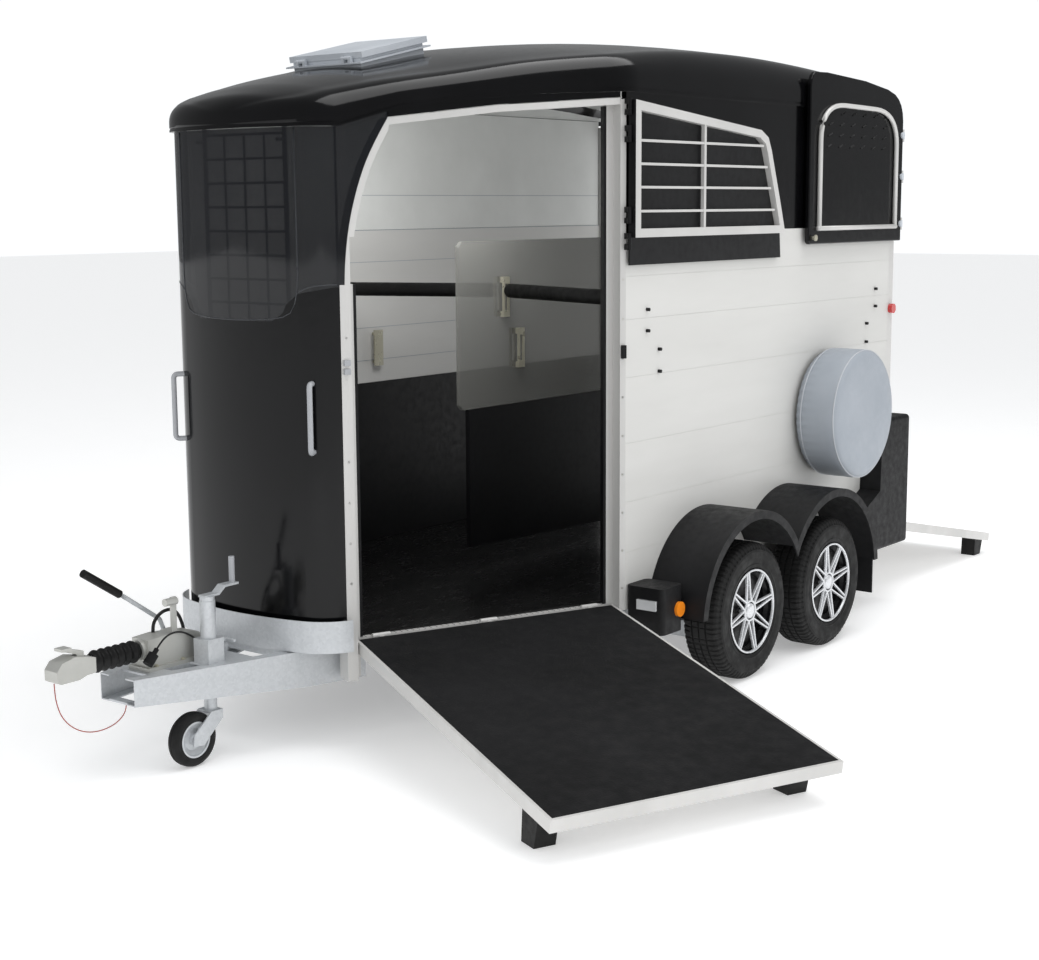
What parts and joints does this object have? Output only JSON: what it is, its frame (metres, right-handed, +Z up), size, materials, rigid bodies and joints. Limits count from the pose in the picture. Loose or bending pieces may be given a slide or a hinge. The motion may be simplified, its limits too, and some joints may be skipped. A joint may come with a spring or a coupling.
{
  "type": "livestock trailer",
  "caption": "Twin-axle horse trailer with lowered side and rear ramps, folded-back top doors, tapered black front, white plank sides and a jockey wheel.",
  "frame": {"origin": "on the ground at the middle of the footprint, ramps lowered", "axes": "+X rearwards, away from the coupling; +Y to the offside; +Z up"},
  "size_m": [5.9038, 3.3506, 2.7],
  "materials": {
    "galvanised_steel": "dull zinc",
    "white_plank": "satin white",
    "rubber_floor": "smooth gloss",
    "rubber_lining": "satin",
    "black_body": "gloss",
    "tinted_glazing": "dark tint",
    "black_metal": "satin",
    "grey_plastic": "light grey",
    "aluminium_trim": "satin mill",
    "black_moulding": "grained",
    "lamp_amber_red": "clear moulded",
    "tyre_rubber": "satin",
    "silver_vinyl": "coated fabric",
    "cast_grey": "zinc cast",
    "rubber_bellows": "matt",
    "black_board": "semi gloss",
    "grey_panel": "satin translucent",
    "foam_pad": "closed foam",
    "rubber_mat": "textured",
    "cable_black": "satin",
    "cable_red": "coated wire",
    "alloy_wheel": "machined face, black windows"
  },
  "bodies": {
    "trailer_body": {"chassis_frame": "galvanised_steel", "drawbar_frame": "galvanised_steel", "front_skirt": "galvanised_steel", "floor_deck": "rubber_floor", "side_wall_near": "white_plank", "side_wall_off": "white_plank", "wall_linings": "rubber_lining", "nose_shell": "black_body", "front_window": "tinted_glazing", "window_grille": "black_metal", "upper_side_panels": "black_body", "roof_shell": "black_body", "roof_vent_frame": "grey_plastic", "doorway_frame": "aluminium_trim", "doorway_seal": "rubber_lining", "rear_frame": "aluminium_trim", "lamp_mouldings": "black_moulding", "lamp_lenses": "lamp_amber_red", "mudguards": "black_moulding", "axle_beams": "galvanised_steel", "spare_carrier": "galvanised_steel", "spare_wheel": "tyre_rubber", "spare_cover": "silver_vinyl", "coupling_housing": "cast_grey", "coupling_bellows": "rubber_bellows", "jockey_sleeve": "galvanised_steel", "body_fittings": "grey_plastic", "centre_post": "aluminium_trim", "lighting_cable": "cable_black", "lighting_plug": "black_moulding", "brake_conduit": "cable_black", "breakaway_cable": "cable_red"},
    "coupling": {"coupling_draw_tube": "galvanised_steel", "coupling_head": "cast_grey"},
    "coupling_handle": {"coupling_handle": "cast_grey"},
    "handbrake_lever": {"handbrake_lever": "galvanised_steel"},
    "jockey_clamp_handle": {"jockey_clamp_handle": "galvanised_steel"},
    "jockey_leg": {"jockey_tube": "galvanised_steel"},
    "jockey_wheel": {"jockey_wheel": "tyre_rubber"},
    "jockey_crank": {"jockey_crank": "galvanised_steel"},
    "side_ramp": {"side_ramp": "aluminium_trim", "side_ramp_mat": "rubber_mat"},
    "rear_ramp": {"rear_ramp": "aluminium_trim"},
    "side_top_door": {"side_top_door": "aluminium_trim"},
    "rear_door_near": {"rear_door_near": "black_body"},
    "rear_door_off": {"rear_door_off": "black_body"},
    "partition": {"lower_partition": "black_board", "head_partition": "grey_panel"},
    "breast_bar_near": {"breast_bar_near": "foam_pad"},
    "breast_bar_off": {"breast_bar_off": "foam_pad"},
    "vent_lid": {"roof_vent_lid": "grey_plastic"},
    "wheel_front_near": {"tyre_front_near": "tyre_rubber", "rim_front_near": "alloy_wheel"},
    "wheel_front_off": {"tyre_front_off": "tyre_rubber", "rim_front_off": "alloy_wheel"},
    "wheel_rear_near": {"tyre_rear_near": "tyre_rubber", "rim_rear_near": "alloy_wheel"},
    "wheel_rear_off": {"tyre_rear_off": "tyre_rubber", "rim_rear_off": "alloy_wheel"}
  },
  "joints": [
    {"name": "overrun_slide", "type": "slide", "parent": "trailer_body", "child": "coupling", "axis": [1, 0, 0], "range_m": [0, 0.08], "stiffness_N_per_m": 3000, "deforming": ["coupling_bellows"]},
    {"name": "coupling_handle_hinge", "type": "hinge", "parent": "coupling", "child": "coupling_handle", "pos_m": [-2.83187, 0.50733, 0.469], "axis": [0, 1, 0], "range_deg": [0, 30], "stiffness_Nm_per_rad": 0.6},
    {"name": "handbrake_hinge", "type": "hinge", "parent": "trailer_body", "child": "handbrake_lever", "pos_m": [-2.38287, 0.58532, 0.452], "axis": [0, 1, 0], "range_deg": [-12, 40]},
    {"name": "jockey_slide", "type": "slide", "parent": "trailer_body", "child": "jockey_leg", "axis": [0, 0, 1], "range_m": [-0.06, 0.05]},
    {"name": "jockey_crank_turn", "type": "hinge", "parent": "trailer_body", "child": "jockey_crank", "pos_m": [-2.33787, 0.39932, 0.6], "axis": [0, 0, 1], "continuous": true},
    {"name": "jockey_wheel_spin", "type": "hinge", "parent": "jockey_leg", "child": "jockey_wheel", "pos_m": [-2.43287, 0.39932, 0.1], "axis": [0, 1, 0], "continuous": true},
    {"name": "jockey_clamp_turn", "type": "hinge", "parent": "trailer_body", "child": "jockey_clamp_handle", "pos_m": [-2.27087, 0.39932, 0.436], "axis": [1, 0, 0], "range_deg": [-180, 180]},
    {"name": "wheel_front_near_spin", "type": "hinge", "parent": "trailer_body", "child": "wheel_front_near", "pos_m": [-0.21787, -0.57268, 0.2945], "axis": [0, 1, 0], "continuous": true},
    {"name": "wheel_front_off_spin", "type": "hinge", "parent": "trailer_body", "child": "wheel_front_off", "pos_m": [-0.21787, 1.58733, 0.2945], "axis": [0, 1, 0], "continuous": true},
    {"name": "wheel_rear_near_spin", "type": "hinge", "parent": "trailer_body", "child": "wheel_rear_near", "pos_m": [0.48713, -0.57268, 0.2945], "axis": [0, 1, 0], "continuous": true},
    {"name": "wheel_rear_off_spin", "type": "hinge", "parent": "trailer_body", "child": "wheel_rear_off", "pos_m": [0.48713, 1.58733, 0.2945], "axis": [0, 1, 0], "continuous": true},
    {"name": "side_ramp_hinge", "type": "hinge", "parent": "trailer_body", "child": "side_ramp", "pos_m": [-1.34265, -0.10535, 0.4], "axis": [-0.9191, 0.3939, 0], "range_deg": [0, 99.68]},
    {"name": "rear_ramp_hinge", "type": "hinge", "parent": "trailer_body", "child": "rear_ramp", "pos_m": [1.56913, 0.50733, 0.4], "axis": [0, -1, 0], "range_deg": [0, 101.6]},
    {"name": "side_top_door_hinge", "type": "hinge", "parent": "trailer_body", "child": "side_top_door", "pos_m": [-0.82111, -0.41157, 2.1], "axis": [0, 0, 1], "range_deg": [-203.2, 0]},
    {"name": "rear_door_near_hinge", "type": "hinge", "parent": "trailer_body", "child": "rear_door_near", "pos_m": [1.58913, -0.41168, 2.1], "axis": [0, 0, 1], "range_deg": [0, 270]},
    {"name": "rear_door_off_hinge", "type": "hinge", "parent": "trailer_body", "child": "rear_door_off", "pos_m": [1.58913, 1.42633, 2.1], "axis": [0, 0, 1], "range_deg": [-270, 0]},
    {"name": "partition_lift", "type": "slide", "parent": "trailer_body", "child": "partition", "axis": [0, 0, 1], "range_m": [0, 0.16]},
    {"name": "breast_bar_near_hinge", "type": "hinge", "parent": "trailer_body", "child": "breast_bar_near", "pos_m": [-0.7465, -0.29103, 1.632], "axis": [-0.9383, 0.3457, 0], "range_deg": [0, 80]},
    {"name": "breast_bar_off_hinge", "type": "hinge", "parent": "trailer_body", "child": "breast_bar_off", "pos_m": [-0.7465, 1.30568, 1.632], "axis": [0.9383, 0.3457, 0], "range_deg": [0, 80]},
    {"name": "vent_lid_hinge", "type": "hinge", "parent": "trailer_body", "child": "vent_lid", "pos_m": [-1.55564, 0.50733, 2.55509], "axis": [0, -1, 0], "range_deg": [0, 30]}
  ],
  "couplings": [
    {"joint": "jockey_crank_turn", "follows": "jockey_slide", "rad_per_m": 1047.2}
  ]
}
